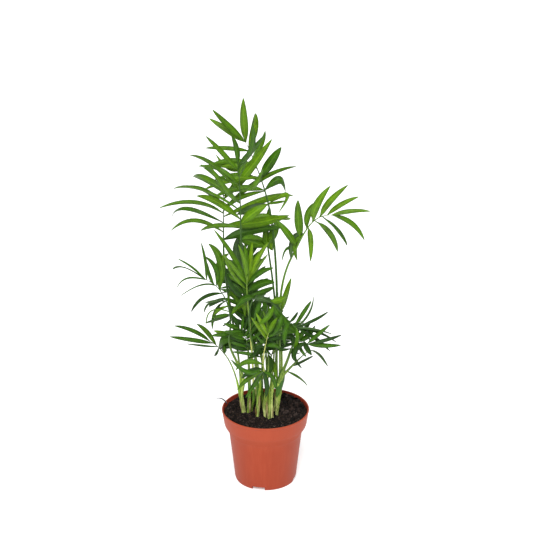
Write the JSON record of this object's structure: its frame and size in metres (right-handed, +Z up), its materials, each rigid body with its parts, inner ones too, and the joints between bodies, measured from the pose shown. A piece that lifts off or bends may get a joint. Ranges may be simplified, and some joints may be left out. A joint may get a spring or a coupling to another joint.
{
  "type": "potted parlour palm",
  "caption": "Young parlour palm in a round terracotta-coloured plastic nursery pot: a clump of slender green stems with upright petioles and feathered, arching fronds.",
  "frame": {"origin": "centre of the pot's flat underside, on the surface it stands on", "axes": "+Z up along the pot's axis; -Y is the side the plant is looked at from, +X to the right from there"},
  "size_m": [0.2746, 0.2633, 0.552],
  "materials": {
    "pot": "matt terracotta-coloured moulded plastic",
    "soil": "moist lumpy peat with fibres",
    "stem": "pale green sheathed stem with papery brown scales at the foot",
    "petiole": "smooth green, slightly grooved",
    "frond": "satin leaf with a raised midrib"
  },
  "bodies": {
    "root": {"pot": "pot", "soil": "soil", "stem_left": "stem", "stem_left_rear": "stem", "stem_mid_left": "stem", "stem_main": "stem", "stem_centre_rear": "stem", "stem_front": "stem", "stem_front_right": "stem", "stem_mid_right": "stem", "stem_right": "stem", "stem_right_rear": "stem", "stem_rear": "stem", "stem_rear_left": "stem", "petiole_top": "petiole", "petiole_upper_left": "petiole", "petiole_left_high": "petiole", "petiole_right_high": "petiole", "petiole_left_mid": "petiole", "petiole_left_low": "petiole", "petiole_right_arch": "petiole", "petiole_right_low": "petiole", "petiole_right_fore": "petiole", "petiole_spear": "petiole", "petiole_mid_back": "petiole", "petiole_front_low": "petiole", "petiole_front_young": "petiole", "petiole_right_spear": "petiole", "petiole_centre_young": "petiole", "petiole_centre_left": "petiole", "petiole_centre_dark": "petiole", "petiole_mid_left": "petiole", "petiole_mid_centre": "petiole", "petiole_back": "petiole", "petiole_back_left": "petiole", "petiole_back_right": "petiole", "petiole_back_low": "petiole", "frond_top": "frond", "frond_upper_left": "frond", "frond_left_high": "frond", "frond_right_high": "frond", "frond_left_mid": "frond", "frond_left_low": "frond", "frond_right_arch": "frond", "frond_right_low": "frond", "frond_right_fore": "frond", "frond_spear": "frond", "frond_mid_back": "frond", "frond_front_low": "frond", "frond_front_young": "frond", "frond_right_spear": "frond", "frond_centre_young": "frond", "frond_centre_left": "frond", "frond_centre_dark": "frond", "frond_mid_left": "frond", "frond_mid_centre": "frond", "frond_back": "frond", "frond_back_left": "frond", "frond_back_right": "frond", "frond_back_low": "frond"}
  },
  "joints": []
}
